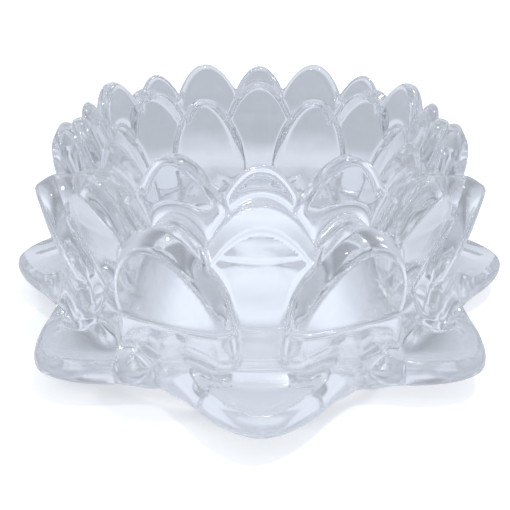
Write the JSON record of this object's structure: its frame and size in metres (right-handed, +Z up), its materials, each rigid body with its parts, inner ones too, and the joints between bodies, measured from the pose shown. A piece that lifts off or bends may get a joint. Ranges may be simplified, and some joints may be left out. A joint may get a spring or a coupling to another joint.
{
  "type": "candle holder",
  "caption": "Clear pressed-glass lotus candle holder: a round tealight cup ringed by staggered rows of thick rounded glass petals.",
  "frame": {"origin": "on the table, under the middle of the cup", "axes": "+Z up, along the cup's axis; -Y through the middle of the first base petal, the front"},
  "size_m": [0.1148, 0.1148, 0.0448],
  "materials": {
    "clear_glass": "polished, clear"
  },
  "bodies": {
    "root": {"candle_cup": "clear_glass", "base_petal_1": "clear_glass", "base_petal_2": "clear_glass", "base_petal_3": "clear_glass", "base_petal_4": "clear_glass", "base_petal_5": "clear_glass", "base_petal_6": "clear_glass", "base_petal_7": "clear_glass", "base_petal_8": "clear_glass", "outer_petal_1": "clear_glass", "outer_petal_2": "clear_glass", "outer_petal_3": "clear_glass", "outer_petal_4": "clear_glass", "outer_petal_5": "clear_glass", "outer_petal_6": "clear_glass", "outer_petal_7": "clear_glass", "outer_petal_8": "clear_glass", "middle_petal_1": "clear_glass", "middle_petal_2": "clear_glass", "middle_petal_3": "clear_glass", "middle_petal_4": "clear_glass", "middle_petal_5": "clear_glass", "middle_petal_6": "clear_glass", "middle_petal_7": "clear_glass", "middle_petal_8": "clear_glass", "inner_petal_1": "clear_glass", "inner_petal_2": "clear_glass", "inner_petal_3": "clear_glass", "inner_petal_4": "clear_glass", "inner_petal_5": "clear_glass", "inner_petal_6": "clear_glass", "inner_petal_7": "clear_glass", "inner_petal_8": "clear_glass", "crown_petal_1": "clear_glass", "crown_petal_2": "clear_glass", "crown_petal_3": "clear_glass", "crown_petal_4": "clear_glass", "crown_petal_5": "clear_glass", "crown_petal_6": "clear_glass", "crown_petal_7": "clear_glass", "crown_petal_8": "clear_glass"}
  },
  "joints": []
}
